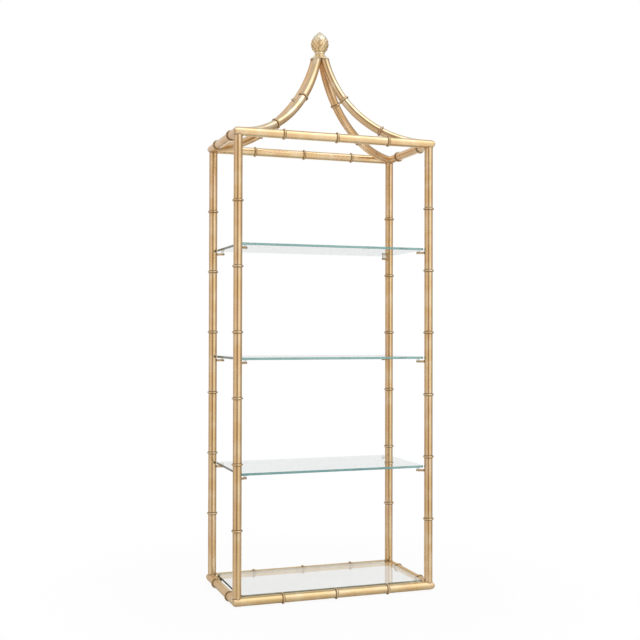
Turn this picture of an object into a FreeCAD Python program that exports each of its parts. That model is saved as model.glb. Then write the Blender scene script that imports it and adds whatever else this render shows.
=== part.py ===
"""Pagoda wall shelf: a gilded bamboo-style tube frame with a swept roof, a bud finial and glass shelves.

Millimetres, +Z up, +X to the right seen from the front, -Y towards the viewer. The origin is on the
surface that the shelf stands on, under the middle of the frame.
"""
import FreeCAD, Part
import math
import os

# Tube and bamboo rings
TUBE_D = 19.0
TUBE_WALL = 1.5
RING_WIDTH = 4.4
RING_LAND = 1.6
RING_PROUD = 2.8
RING_FIT = 0.2
WELD_GAP = 0.2

# Frame, axis to axis, with the clear height between the bottom and top rails, which lie a little outside
# the posts
POST_SPACING_X = 445.0
POST_SPACING_Y = 226.0
POST_CLEAR = 977.0
RAIL_OUTSET = 2.0
POST_RING_PITCH = 140.0
RAIL_RING_PITCH = 121.5
LONG_RAIL_RINGS = 3
SHORT_RAIL_RINGS = 2

# Roof: four arms that leave the top corners almost level and sweep up to the cap, where they stand side by
# side and bite a little into one another
ARM_START_SLOPE = 4.0
ROOF_RISE = 200.0
APEX_BITE = 0.5
ARM_RING_FIRST = 114.5
ARM_RING_PITCH = 112.5
ARM_RINGS = 2

# Cap, collar and bud finial on the apex
CAP_HEIGHT = 13.4
CAP_RIM = 2.4
CAP_NECK_D = 21.4
COLLAR_D = 23.4
COLLAR_HEIGHT = 2.6
BUD_D = 40.6
BUD_HEIGHT = 48.6
BUD_FOOT_D = 22.4
BUD_COLUMNS = 12
BUD_LEVELS = 8
BUD_SCALE_RISE = 1.5
BUD_TIP_D = 3.6
STUD_D = 6.0
STUD_LENGTH = 30.0
STUD_FIT = 0.15
STUD_END_ROOM = 2.4

# Shares that shape the apex: the cap's flare at its waist, the bud's widest level and taper, a scale's tip
CAP_WAIST_OUT = 0.45
CAP_WAIST_UP = 0.44
BUD_WIDEST = 0.40
BUD_TAPER = 1.2
BUD_SCALE_TIP = 0.3

# Glass shelves, the pins that carry them and the clear bumpers between
GLASS = 5.0
GLASS_ARRIS = 0.6
GLASS_CORNER_R = 7.4
GLASS_CLEARANCE = 0.7
SHELF_FIRST = 254.5
SHELF_PITCH = 246.0
SHELF_NAMES = ("lower", "middle", "upper")
PIN_D = 5.0
PIN_LENGTH = 18.0
PIN_ANGLE = 30.0
PIN_TIP_CHAMFER = 0.7
BUMPER_D = 6.5
BUMPER_RISE = 3.5
BUMPER_FROM_TIP = 4.5
BUMPER_FIT = 0.1

# Glass panel let into the bottom frame, barely above the tops of its rails, on a welded tab in each corner,
# with pads in from its edges
PANEL_PROUD = 0.5
PANEL_CLEARANCE = 0.6
PANEL_PAD = 1.5
PANEL_PAD_D = 8.0
TAB_LEG = 40.0
TAB_THICKNESS = 2.5
TAB_PAD_AT = 4.1

# Hanging holes in the rear wall of the top back rail
HANG_SPACING = 300.0
HANG_HOLE_D = 6.5

# Sizes that follow from the values above
TUBE_R = TUBE_D / 2
RING_R = TUBE_R + RING_PROUD
COPE_R = TUBE_R + WELD_GAP
HALF_X = POST_SPACING_X / 2
HALF_Y = POST_SPACING_Y / 2
RAIL_X = HALF_X + RAIL_OUTSET
RAIL_Y = HALF_Y + RAIL_OUTSET
BASE_Z = RING_R
POST_FOOT_Z = BASE_Z + TUBE_R
TOP_Z = POST_FOOT_Z + POST_CLEAR + TUBE_R
CAP_Z = TOP_Z + ROOF_RISE
COLLAR_Z = CAP_Z + CAP_HEIGHT
BUD_Z = COLLAR_Z + COLLAR_HEIGHT
APEX_HALF = TUBE_R - APEX_BITE
CAP_R = math.hypot(APEX_HALF, APEX_HALF) + TUBE_R
STUD_Z = CAP_Z + CAP_RIM
STUD_TOP = STUD_Z + STUD_LENGTH
PANEL_LOW = BASE_Z + TUBE_R + PANEL_PROUD - GLASS
PANEL_IN = math.sqrt(RING_R ** 2 - (PANEL_LOW - BASE_Z) ** 2) + PANEL_CLEARANCE
PANEL_HALF_X = RAIL_X - PANEL_IN
PANEL_HALF_Y = RAIL_Y - PANEL_IN
TAB_TOP = PANEL_LOW - PANEL_PAD

UP = FreeCAD.Vector(0, 0, 1)
ALONG_X = FreeCAD.Vector(1, 0, 0)
ALONG_Y = FreeCAD.Vector(0, 1, 0)
CORNERS = {"front_left": (-1, -1), "front_right": (1, -1), "back_left": (-1, 1), "back_right": (1, 1)}


def point(x, y, z):
    return FreeCAD.Vector(x, y, z)


def largest(shape):
    """The main solid of a cut, without the crumbs that a cut can leave."""
    return max(shape.Solids, key=lambda solid: solid.Volume)


def revolved(outline):
    """A solid turned about Z from a closed outline of (radius, height) points."""
    corners = [point(radius, 0, height) for radius, height in outline]
    face = Part.Face(Part.makePolygon(corners + corners[:1]))
    return face.revolve(point(0, 0, 0), UP, 360)


# Frame tubes
def mitred_rail(side, axis_z, radius):
    """A solid round rail on one side of the frame, mitred at 45 degrees at both ends."""
    along = ALONG_X if side in ("front", "back") else ALONG_Y
    half, offset = (RAIL_X, RAIL_Y) if along is ALONG_X else (RAIL_Y, RAIL_X)
    sign = 1 if side in ("back", "right") else -1
    reach = radius + TUBE_D
    plan = [(-half - reach, sign * (offset + reach)), (half + reach, sign * (offset + reach)),
            (half - reach, sign * (offset - reach)), (-half + reach, sign * (offset - reach))]
    if along is ALONG_Y:
        plan = [(y, x) for x, y in plan]
    outline = [point(x, y, axis_z - reach) for x, y in plan]
    mitre = Part.Face(Part.makePolygon(outline + outline[:1])).extrude(UP * 2 * reach)
    across = ALONG_Y if along is ALONG_X else ALONG_X
    start = across * (sign * offset) - along * (half + reach) + UP * axis_z
    return Part.makeCylinder(radius, 2 * (half + reach), start, along).common(mitre).Solids[0]


def rail_tube(side, axis_z):
    solid = mitred_rail(side, axis_z, TUBE_R)
    return largest(solid.cut(mitred_rail(side, axis_z, TUBE_R - TUBE_WALL)))


def drill_hang_holes(rail):
    """Two holes through the rear wall only, for the heads of two wall screws."""
    for sign in (-1, 1):
        start = point(sign * HANG_SPACING / 2, RAIL_Y, TOP_Z)
        rail = rail.cut(Part.makeCylinder(HANG_HOLE_D / 2, TUBE_D, start, ALONG_Y))
    return largest(rail)


def corner_column(corner, radius):
    i, j = CORNERS[corner]
    return Part.makeCylinder(radius, TOP_Z - BASE_Z, point(i * HALF_X, j * HALF_Y, BASE_Z))


def corner_sides(corner):
    depth, hand = corner.split("_")
    return depth, hand


def post_tube(corner):
    """A post coped at both ends onto the mitred corners of the rails."""
    post = corner_column(corner, TUBE_R).cut(corner_column(corner, TUBE_R - TUBE_WALL))
    for axis_z in (BASE_Z, TOP_Z):
        for side in corner_sides(corner):
            post = post.cut(mitred_rail(side, axis_z, COPE_R))
    return largest(post)


# Bamboo rings
def bamboo_ring(centre, axis):
    """A raised band round a tube, bevelled on both edges."""
    inner = TUBE_R + RING_FIT
    half = RING_WIDTH / 2
    land = RING_LAND / 2
    band = revolved([(inner, -half), (RING_R, -land), (RING_R, land), (inner, half)])
    band.Placement = FreeCAD.Placement(centre, FreeCAD.Rotation(UP, axis))
    return band


def post_rings(corner):
    i, j = CORNERS[corner]
    count = int((POST_CLEAR - POST_RING_PITCH / 2) // POST_RING_PITCH)
    heights = [POST_FOOT_Z + POST_RING_PITCH * k for k in range(1, count + 1)]
    return [bamboo_ring(point(i * HALF_X, j * HALF_Y, z), UP) for z in heights]


def frame_rings(axis_z):
    rings = []
    for sign in (-1, 1):
        for k in range(LONG_RAIL_RINGS):
            x = (k - (LONG_RAIL_RINGS - 1) / 2) * RAIL_RING_PITCH
            rings.append(bamboo_ring(point(x, sign * RAIL_Y, axis_z), ALONG_X))
        for k in range(SHORT_RAIL_RINGS):
            y = (k - (SHORT_RAIL_RINGS - 1) / 2) * RAIL_RING_PITCH
            rings.append(bamboo_ring(point(sign * RAIL_X, y, axis_z), ALONG_Y))
    return rings


# Roof
def arm_arc(corner):
    """The arm's axis: an arc in an upright plane that starts at a top corner at the start slope and ends
    in its own quarter of the square bundle under the cap."""
    i, j = CORNERS[corner]
    start = point(i * HALF_X, j * HALF_Y, TOP_Z)
    chord = point(i * APEX_HALF, j * APEX_HALF, CAP_Z) - start
    inward = point(chord.x, chord.y, 0) / math.hypot(chord.x, chord.y)
    slope = math.radians(ARM_START_SLOPE)
    tangent = inward * math.cos(slope) + UP * math.sin(slope)
    normal = UP * math.cos(slope) - inward * math.sin(slope)
    radius = chord.Length ** 2 / (2 * chord.dot(normal))
    sweep = 2 * math.atan2(chord.dot(normal), chord.dot(tangent))
    return start, tangent, start + normal * radius, inward.cross(UP), radius, sweep


def arm_solid(corner, radius):
    start, tangent, centre, axis, bend, sweep = arm_arc(corner)
    past_cap = math.degrees(sweep + TUBE_D / bend)
    disc = Part.Face(Part.Wire(Part.makeCircle(radius, start, tangent)))
    return disc.revolve(centre, axis, past_cap)


def roof_arm(corner):
    """A bent tube coped into its corner, mitred against the other arms and cut level under the cap."""
    i, j = CORNERS[corner]
    arm = arm_solid(corner, TUBE_R).cut(arm_solid(corner, TUBE_R - TUBE_WALL))
    arm = arm.cut(corner_column(corner, COPE_R))
    for side in corner_sides(corner):
        arm = arm.cut(mitred_rail(side, TOP_Z, COPE_R))
    low = TOP_Z - POST_CLEAR / 2
    quarter = Part.makeBox(POST_SPACING_X, POST_SPACING_Y, CAP_Z - low)
    quarter.translate(point(min(i, 0) * POST_SPACING_X, min(j, 0) * POST_SPACING_Y, low))
    return largest(arm.common(quarter))


def arm_rings(corner):
    start, tangent, centre, axis, bend, sweep = arm_arc(corner)
    rings = []
    for k in range(ARM_RINGS):
        turn = FreeCAD.Rotation(axis, math.degrees((ARM_RING_FIRST + k * ARM_RING_PITCH) / bend))
        place = centre + turn.multVec(start - centre)
        rings.append(bamboo_ring(place, turn.multVec(tangent)))
    return rings


# Apex: cap, collar, stud and bud
def stud_bore(bottom, top):
    return Part.makeCylinder(STUD_D / 2 + STUD_FIT, top - bottom, point(0, 0, bottom))


def roof_cap():
    """A turned cap that sits on the four arm ends and flares in to a neck."""
    neck = CAP_NECK_D / 2
    rim = point(CAP_R, 0, CAP_Z + CAP_RIM)
    top = point(neck, 0, COLLAR_Z)
    waist = rim + point((CAP_R - neck) * (CAP_WAIST_OUT - 1), 0, (CAP_HEIGHT - CAP_RIM) * CAP_WAIST_UP)
    flare = Part.Arc(rim, waist, top).toShape()
    lines = [Part.makeLine(point(0, 0, CAP_Z), point(CAP_R, 0, CAP_Z)),
             Part.makeLine(point(CAP_R, 0, CAP_Z), rim), flare,
             Part.makeLine(top, point(0, 0, COLLAR_Z)),
             Part.makeLine(point(0, 0, COLLAR_Z), point(0, 0, CAP_Z))]
    cap = Part.Face(Part.Wire(lines)).revolve(point(0, 0, 0), UP, 360)
    return largest(cap.cut(stud_bore(STUD_Z, STUD_TOP)))


def finial_collar():
    """A rounded bead between the cap's neck and the bud."""
    waist = CAP_NECK_D / 2
    low, high = COLLAR_Z, BUD_Z
    swell = Part.Arc(point(waist, 0, low), point(COLLAR_D / 2, 0, (low + high) / 2), point(waist, 0, high))
    edges = [Part.makeLine(point(0, 0, low), point(waist, 0, low)), swell.toShape(),
             Part.makeLine(point(waist, 0, high), point(0, 0, high)),
             Part.makeLine(point(0, 0, high), point(0, 0, low))]
    bead = Part.Face(Part.Wire(edges)).revolve(point(0, 0, 0), UP, 360)
    return largest(bead.cut(stud_bore(STUD_Z, STUD_TOP)))


def bud_radius(share):
    """The bud's outline: a quick swell above its foot, then a fuller taper to the tip."""
    foot, full, tip = BUD_FOOT_D / 2, BUD_D / 2 - BUD_SCALE_RISE, BUD_TIP_D / 2
    if share < BUD_WIDEST:
        return foot + (full - foot) * math.sin(math.pi / 2 * share / BUD_WIDEST)
    fall = (share - BUD_WIDEST) / (1 - BUD_WIDEST)
    return tip + (full - tip) * math.cos(math.pi / 2 * fall ** BUD_TAPER)


def bud_point(level, column, rise=0.0):
    """A lattice point of the bud: level from the foot up, column round it, rise out of its surface."""
    share = level / BUD_LEVELS
    radius = bud_radius(share) + rise
    angle = 2 * math.pi * column / BUD_COLUMNS
    height = BUD_Z + (BUD_HEIGHT - BUD_TIP_D / 2) * share
    return point(radius * math.cos(angle), radius * math.sin(angle), height)


def triangle(a, b, c):
    return Part.Face(Part.makePolygon([a, b, c, a]))


def bud_scale(level, column):
    """One diamond scale, whose tip stands out near its upper corner."""
    low, high = bud_point(level - 1, column), bud_point(level + 1, column)
    left, right = bud_point(level, column - 0.5), bud_point(level, column + 0.5)
    tip = bud_point(level + BUD_SCALE_TIP, column, BUD_SCALE_RISE)
    ring = [low, right, high, left]
    return [triangle(ring[k], ring[(k + 1) % 4], tip) for k in range(4)]


def finial_bud():
    """A bud of staggered diamond scales, closed by half scales at the foot and a point on top."""
    faces = []
    shift = [0.5 * (level % 2) for level in range(BUD_LEVELS + 1)]
    crown = point(0, 0, BUD_Z + BUD_HEIGHT)
    top = BUD_LEVELS
    for column in range(BUD_COLUMNS):
        for level in range(1, top):
            faces += bud_scale(level, column + shift[level - 1])
        foot = bud_point(0, column), bud_point(0, column + 1)
        faces.append(triangle(foot[0], foot[1], bud_point(1, column + 0.5)))
        faces.append(triangle(foot[1], foot[0], point(0, 0, BUD_Z)))
        last = bud_point(top, column + shift[top]), bud_point(top, column + 1 + shift[top])
        faces.append(triangle(last[1], last[0], bud_point(top - 1, column + 0.5 + shift[top])))
        faces.append(triangle(last[0], last[1], crown))
    bud = Part.Solid(Part.Shell(faces))
    return largest(bud.cut(stud_bore(STUD_Z, STUD_TOP + STUD_END_ROOM)))


def finial_stud():
    return Part.makeCylinder(STUD_D / 2, STUD_LENGTH, point(0, 0, STUD_Z))


# Glass, pins and bumpers
def glass_sheet(half_x, half_y, low_z):
    """A sheet with rounded corners and a ground arris on every edge."""
    sheet = Part.makeBox(2 * half_x, 2 * half_y, GLASS, point(-half_x, -half_y, low_z))
    upright = [edge for edge in sheet.Edges if edge.BoundBox.ZLength > GLASS / 2]
    sheet = sheet.makeFillet(GLASS_CORNER_R, upright)
    rims = [edge for edge in sheet.Edges if edge.BoundBox.ZLength < GLASS / 2]
    return sheet.makeChamfer(GLASS_ARRIS, rims).Solids[0]


def shelf_glass(low_z):
    """A shelf whose rounded corners pass inside the rings of the posts."""
    inset = (RING_R + GLASS_CLEARANCE + GLASS_CORNER_R) / math.sqrt(2) - GLASS_CORNER_R
    return glass_sheet(HALF_X - inset, HALF_Y - inset, low_z)


def pin_line(corner, low_z):
    """Start on the post's axis and direction of the pin under one corner of a shelf."""
    i, j = CORNERS[corner]
    turn = math.radians(PIN_ANGLE)
    axis_z = low_z - BUMPER_RISE - PIN_D / 2
    return point(i * HALF_X, j * HALF_Y, axis_z), point(-i * math.cos(turn), -j * math.sin(turn), 0)


def shelf_pin(corner, low_z):
    start, inward = pin_line(corner, low_z)
    pin = Part.makeCylinder(PIN_D / 2, TUBE_R + PIN_LENGTH, start, inward)
    tip = max(pin.Edges, key=lambda edge: (edge.CenterOfMass - start).dot(inward))
    return largest(pin.makeChamfer(PIN_TIP_CHAMFER, [tip]).cut(corner_column(corner, COPE_R)))


def shelf_bumper(corner, low_z):
    """A clear pad that straddles the pin and carries the glass."""
    start, inward = pin_line(corner, low_z)
    seat = start + inward * (TUBE_R + PIN_LENGTH - BUMPER_FROM_TIP)
    pad = Part.makeCylinder(BUMPER_D / 2, low_z - start.z, seat)
    bar = Part.makeCylinder(PIN_D / 2 + BUMPER_FIT, TUBE_R + PIN_LENGTH, start, inward)
    return largest(pad.cut(bar))


# Bottom panel and its corner tabs
def base_panel():
    return glass_sheet(PANEL_HALF_X, PANEL_HALF_Y, PANEL_LOW)


def corner_tab(corner):
    """A three-cornered plate welded between two bottom rails, under the panel."""
    i, j = CORNERS[corner]
    x, y, z = i * RAIL_X, j * RAIL_Y, TAB_TOP - TAB_THICKNESS
    outline = [point(x, y, z), point(x - i * TAB_LEG, y, z), point(x, y - j * TAB_LEG, z)]
    plate = Part.Face(Part.makePolygon(outline + outline[:1])).extrude(UP * TAB_THICKNESS)
    for side in corner_sides(corner):
        plate = plate.cut(mitred_rail(side, BASE_Z, COPE_R))
    return largest(plate)


def panel_pad(corner):
    i, j = CORNERS[corner]
    seat = point(i * (PANEL_HALF_X - TAB_PAD_AT), j * (PANEL_HALF_Y - TAB_PAD_AT), TAB_TOP)
    return Part.makeCylinder(PANEL_PAD_D / 2, PANEL_PAD, seat)


def build():
    nodes = {}
    for level, axis_z in (("top", TOP_Z), ("bottom", BASE_Z)):
        for side in ("front", "back", "left", "right"):
            nodes[f"{level}_{side}_rail"] = [rail_tube(side, axis_z)]
        nodes[f"{level}_frame_rings"] = frame_rings(axis_z)
    nodes["top_back_rail"] = [drill_hang_holes(nodes["top_back_rail"][0])]
    for corner in CORNERS:
        nodes[f"{corner}_post"] = [post_tube(corner)]
        nodes[f"{corner}_post_rings"] = post_rings(corner)
        nodes[f"{corner}_roof_arm"] = [roof_arm(corner)]
    nodes["roof_arm_rings"] = [ring for corner in CORNERS for ring in arm_rings(corner)]
    nodes["roof_cap"] = [roof_cap()]
    nodes["finial_collar"] = [finial_collar()]
    nodes["finial_stud"] = [finial_stud()]
    nodes["finial_bud"] = [finial_bud()]
    for k, name in enumerate(SHELF_NAMES):
        low_z = POST_FOOT_Z + SHELF_FIRST + k * SHELF_PITCH
        nodes[f"{name}_glass_shelf"] = [shelf_glass(low_z)]
        nodes[f"{name}_shelf_pins"] = [shelf_pin(corner, low_z) for corner in CORNERS]
        nodes[f"{name}_shelf_bumpers"] = [shelf_bumper(corner, low_z) for corner in CORNERS]
    nodes["base_glass_panel"] = [base_panel()]
    nodes["base_corner_tabs"] = [corner_tab(corner) for corner in CORNERS]
    nodes["base_panel_pads"] = [panel_pad(corner) for corner in CORNERS]
    return nodes


def export(nodes):
    os.makedirs("parts", exist_ok=True)
    for name, solids in nodes.items():
        shape = solids[0] if len(solids) == 1 else Part.makeCompound(solids)
        shape.exportStep(f"parts/{name}.step")


export(build())
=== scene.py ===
"""Looks of the pagoda wall shelf, in metres.

A gilded bamboo-style tube frame with a swept roof and a bud finial carries three glass shelves and a
glass bottom panel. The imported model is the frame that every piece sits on.
"""
import math

import bmesh
import bpy
from mathutils import Matrix, Vector, noise


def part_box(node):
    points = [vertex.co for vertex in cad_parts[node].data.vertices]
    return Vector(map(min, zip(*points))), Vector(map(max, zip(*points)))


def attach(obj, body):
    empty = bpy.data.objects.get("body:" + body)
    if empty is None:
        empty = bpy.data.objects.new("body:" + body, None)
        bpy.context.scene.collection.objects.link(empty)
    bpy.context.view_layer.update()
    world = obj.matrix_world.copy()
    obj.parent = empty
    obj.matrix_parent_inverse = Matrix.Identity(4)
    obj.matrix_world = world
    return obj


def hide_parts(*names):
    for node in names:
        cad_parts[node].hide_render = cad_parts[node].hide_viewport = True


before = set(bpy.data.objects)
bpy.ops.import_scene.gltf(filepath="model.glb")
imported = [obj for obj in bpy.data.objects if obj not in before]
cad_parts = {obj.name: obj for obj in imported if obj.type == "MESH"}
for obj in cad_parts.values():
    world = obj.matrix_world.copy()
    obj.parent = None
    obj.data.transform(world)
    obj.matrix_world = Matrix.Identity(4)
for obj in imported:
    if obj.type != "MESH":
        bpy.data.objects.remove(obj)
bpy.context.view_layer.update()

# Sizes of the model
MM = 0.001
TUBE_R = 9.5 * MM
RING_R = 12.3 * MM
RING_HALF = 2.2 * MM
HALF_X = 222.5 * MM
HALF_Y = 113.0 * MM
RAIL_OUTSET = 2.0 * MM
POST_CLEAR = 977.0 * MM
POST_RING_PITCH = 140.0 * MM
POST_RINGS = 6
RAIL_RING_PITCH = 121.5 * MM
LONG_RAIL_RINGS = 3
SHORT_RAIL_RINGS = 2
ARM_START_SLOPE = math.radians(4.0)
APEX_HALF = 9.0 * MM
ARM_RING_FIRST = 114.5 * MM
ARM_RING_PITCH = 112.5 * MM
ARM_RINGS = 2
CAP_R = 22.23 * MM
CAP_RIM = 2.4 * MM
CAP_NECK_R = 10.7 * MM
COLLAR_R = 11.7 * MM
BUD_R = 20.3 * MM
BUD_FOOT_R = 11.2 * MM
BUD_TIP_R = 1.6 * MM
BUD_WIDEST = 0.40
BUD_TAPER = 1.2
BUD_COLUMNS = 12
BUD_LEVELS = 8
PIN_R = 2.5 * MM
PIN_LENGTH = 18.0 * MM
PIN_ANGLE = math.radians(30.0)
BUMPER_R = 3.25 * MM
BUMPER_RISE = 3.5 * MM
BUMPER_FROM_TIP = 4.5 * MM
GLASS_CORNER_R = 7.4 * MM
GLASS_ARRIS = 0.6 * MM
HANG_SPACING = 300.0 * MM
HANG_HOLE_R = 3.25 * MM

# Finish of the surfaces: how fine the skins are, and the small unevenness of hand work
TUBE_SIDES = 40
STEP = 7.0 * MM
RIPPLE = 0.025 * MM
RIPPLE_PER_M = 45.0
FILLET = 1.1 * MM
GLAZE_REACH = 1.1 * MM
SCALE_RISE = 1.7 * MM
SHARP = math.radians(38.0)

# The camera that took the picture: its place in metres, its turns, and its lens and sensor in millimetres
CAMERA_AT = Vector((-0.7744, -2.2092, 0.5829))
CAMERA_YAW = math.radians(19.366)
CAMERA_PITCH = math.radians(0.6645)
CAMERA_ROLL = math.radians(0.122)
CAMERA_LENS = 57.38
SENSOR = 36.0

# Sizes that follow from the values above and from the frame
RAIL_X = HALF_X + RAIL_OUTSET
RAIL_Y = HALF_Y + RAIL_OUTSET
BASE_Z = RING_R
POST_FOOT_Z = BASE_Z + TUBE_R
TOP_Z = POST_FOOT_Z + POST_CLEAR + TUBE_R
CAP_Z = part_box("roof_cap")[0].z
COLLAR_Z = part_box("finial_collar")[0].z
BUD_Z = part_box("finial_bud")[0].z
BUD_TOP_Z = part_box("finial_bud")[1].z

UP = Vector((0, 0, 1))
ALONG_X = Vector((1, 0, 0))
ALONG_Y = Vector((0, 1, 0))
CENTRE = Vector((0, 0, 0))
CORNERS = {
    "front_left": (-1, -1),
    "front_right": (1, -1),
    "back_left": (-1, 1),
    "back_right": (1, 1),
}
SIDES_OF_FRAME = {
    "front": (ALONG_X, -1),
    "back": (ALONG_X, 1),
    "left": (ALONG_Y, -1),
    "right": (ALONG_Y, 1),
}
SHELVES = ("lower", "middle", "upper")


# Node graphs
class Graph:
    """A material's or the world's node tree, with short calls for the nodes used here."""

    def __init__(self, owner):
        owner.use_nodes = True
        self.tree = owner.node_tree
        self.tree.nodes.clear()

    def node(self, kind, **settings):
        made = self.tree.nodes.new(kind)
        for key, value in settings.items():
            setattr(made, key, value)
        return made

    def feed(self, socket, value):
        if isinstance(value, bpy.types.NodeSocket):
            self.tree.links.new(value, socket)
        else:
            socket.default_value = value

    def math(self, operation, *values):
        made = self.node("ShaderNodeMath", operation=operation)
        for socket, value in zip(made.inputs, values):
            self.feed(socket, value)
        return made.outputs[0]

    def noise(self, vector, scale, detail=3.0, rough=0.5):
        made = self.node("ShaderNodeTexNoise")
        self.feed(made.inputs["Vector"], vector)
        self.feed(made.inputs["Scale"], scale)
        self.feed(made.inputs["Detail"], detail)
        self.feed(made.inputs["Roughness"], rough)
        return made.outputs["Fac"]

    def span(self, value, low, high, to_low=0.0, to_high=1.0):
        """The value's share of low to high, smoothly limited, as a number from to_low to to_high."""
        made = self.node("ShaderNodeMapRange", interpolation_type="SMOOTHSTEP")
        for socket, number in zip(made.inputs, (value, low, high, to_low, to_high)):
            self.feed(socket, number)
        return made.outputs[0]

    def mix(self, share, a, b, blend="MIX"):
        """Two colours mixed. A mix node takes colours at sockets 6 and 7 and gives one at 2."""
        made = self.node("ShaderNodeMix", data_type="RGBA", blend_type=blend)
        for socket, value in zip((0, 6, 7), (share, a, b)):
            self.feed(made.inputs[socket], value)
        return made.outputs[2]

    def shade(self, share, a, b):
        made = self.node("ShaderNodeMixShader")
        self.feed(made.inputs[0], share)
        self.feed(made.inputs[1], a)
        self.feed(made.inputs[2], b)
        return made.outputs[0]

    def bump(self, height, strength, distance, normal=None):
        made = self.node("ShaderNodeBump")
        self.feed(made.inputs["Strength"], strength)
        self.feed(made.inputs["Distance"], distance)
        self.feed(made.inputs["Height"], height)
        if normal is not None:
            self.feed(made.inputs["Normal"], normal)
        return made.outputs[0]

    def dot(self, vector, with_vector):
        made = self.node("ShaderNodeVectorMath", operation="DOT_PRODUCT")
        self.feed(made.inputs[0], vector)
        self.feed(made.inputs[1], with_vector)
        return made.outputs["Value"]

    def ramp(self, value, stops):
        made = self.node("ShaderNodeValToRGB")
        band = made.color_ramp
        band.elements.remove(band.elements[1])
        band.elements[0].position = stops[0][0]
        band.elements[0].color = stops[0][1]
        for at, colour in stops[1:]:
            band.elements.new(at).color = colour
        self.feed(made.inputs[0], value)
        return made.outputs[0]

    def principled(self, **values):
        made = self.node("ShaderNodeBsdfPrincipled")
        for key, value in values.items():
            self.feed(made.inputs[key.replace("_", " ")], value)
        return made.outputs[0]

    def place(self):
        return self.node("ShaderNodeTexCoord").outputs["Object"]

    def stretched(self, vector, x, y, z):
        made = self.node("ShaderNodeMapping")
        self.feed(made.inputs["Vector"], vector)
        made.inputs["Scale"].default_value = (x, y, z)
        return made.outputs[0]

    def finish(self, surface, kind="ShaderNodeOutputMaterial"):
        self.feed(self.node(kind).inputs["Surface"], surface)


def rgb(red, green, blue):
    return red, green, blue, 1.0


# Colours and polish of the leaf
WHITE = rgb(1, 1, 1)
GOLD = rgb(0.72, 0.505, 0.265)
GOLD_PALE = rgb(0.80, 0.62, 0.39)
GOLD_ROSE = rgb(0.69, 0.45, 0.285)
GLAZE = rgb(0.075, 0.045, 0.022)
# The finial's leaf and glaze are lit copies, paler than the rest: painted light from above
BUD_LIT_GOLD = rgb(0.97, 0.735, 0.41)
BUD_LIT_GLAZE = rgb(0.26, 0.18, 0.077)
CAP_LIT_GOLD = rgb(0.95, 0.77, 0.48)
FINIAL_LIT_PALE = rgb(0.97, 0.87, 0.66)
FINIAL_LIT_GLAZE = rgb(0.42, 0.27, 0.125)
BASE_GOLD = rgb(0.71, 0.51, 0.254)
BASE_PALE = rgb(0.79, 0.615, 0.372)
# Lit and shaded copies of the arms' leaf: the front arms paler for a painted sheen, the back arms redder
# for painted shade
FRONT_ARM_LIT_GOLD = rgb(0.75, 0.555, 0.325)
FRONT_ARM_LIT_PALE = rgb(0.85, 0.715, 0.505)
BACK_ARM_SHADED_GOLD = rgb(0.78, 0.515, 0.27)
BACK_ARM_SHADED_PALE = rgb(0.86, 0.63, 0.395)
# Shares of the bud's height where painted light from above begins to pale it and where it is full
BUD_TOP_LIGHT_FROM = 0.3
BUD_TOP_LIGHT_FULL = 0.75
TUBE_POLISH = 0.17
BASE_POLISH = 0.33
FINIAL_POLISH = 0.27

# Unevenness of the leaf. An EDGE is where a noise turns from one look to the other.
PATCHES_PER_M = 26.0
PATCH_EDGE = (0.38, 0.66)
PATCH_ROUGH_EDGE = (0.30, 0.70)
ROSE_PER_M = 34.0
ROSE_STRETCH = (1.0, 1.0, 0.35)
ROSE_EDGE = (0.52, 0.74)
ROSE_SHARE = 0.45
GRAIN_PER_M = 420.0
GRAIN_EDGE = (0.55, 0.80)
GRAIN_SHARE = 0.18
GRAIN_ROUGH_EDGE = (0.3, 0.8)
SPECKS_PER_M = 900.0
SPECK_EDGE = (0.68, 0.78)
SPECK_SHARE = 0.16
LEAF_ROUGHER = 0.06
GLAZE_EDGE = (0.20, 0.62)
GLAZE_LEAST = 0.55
GLAZE_ROUGHER = 0.18
GLAZE_OVER_METAL = 0.65
# Strength and distance of the bumps
GROUND_BUMP = (0.05, 0.6 * MM)
LEAF_BUMP = (0.006, 0.4 * MM)

# Glass, vinyl, steel and iron. A ROUGH is the range of a roughness.
NOISE_MIDDLE = (0.3, 0.7)
GLASS_IOR = 1.45
GLASS_ROUGH_EDGE = (0.30, 0.75)
HAZE_PER_M = 9.0
HAZE_EDGE = (0.35, 0.70)
FACE_ROUGH = (0.0, 0.012)
STREAKS_PER_M = 5.0
STREAK_STRETCH = (6.0, 6.0, 60.0)
RIM_ROUGH = (0.10, 0.20)
RIM_TRANSMISSION = 0.25
GLASS_THROUGH = rgb(0.84, 0.93, 0.90)
VINYL_IOR = 1.46
VINYL_CLOUDS_PER_M = 260.0
VINYL_DULL = rgb(0.80, 0.82, 0.80)
VINYL_BRIGHT = rgb(0.93, 0.94, 0.92)
VINYL_ROUGH = (0.18, 0.34)
VINYL_TRANSMISSION = 0.85
TOOL_MARKS_PER_M = 90.0
TOOL_MARK_STRETCH = (1.0, 1.0, 30.0)
STEEL_DARK = rgb(0.40, 0.40, 0.41)
STEEL_BRIGHT = rgb(0.60, 0.60, 0.61)
STEEL_ROUGH = (0.30, 0.45)
MILL_SCALE_PER_M = 700.0
# The iron in the hanging holes is painted near black with the shade inside them
IRON_DARK = rgb(0.030, 0.026, 0.023)
IRON_BROWN = rgb(0.075, 0.058, 0.045)
IRON_ROUGH = (0.55, 0.80)
IRON_METAL = 0.4


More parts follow.
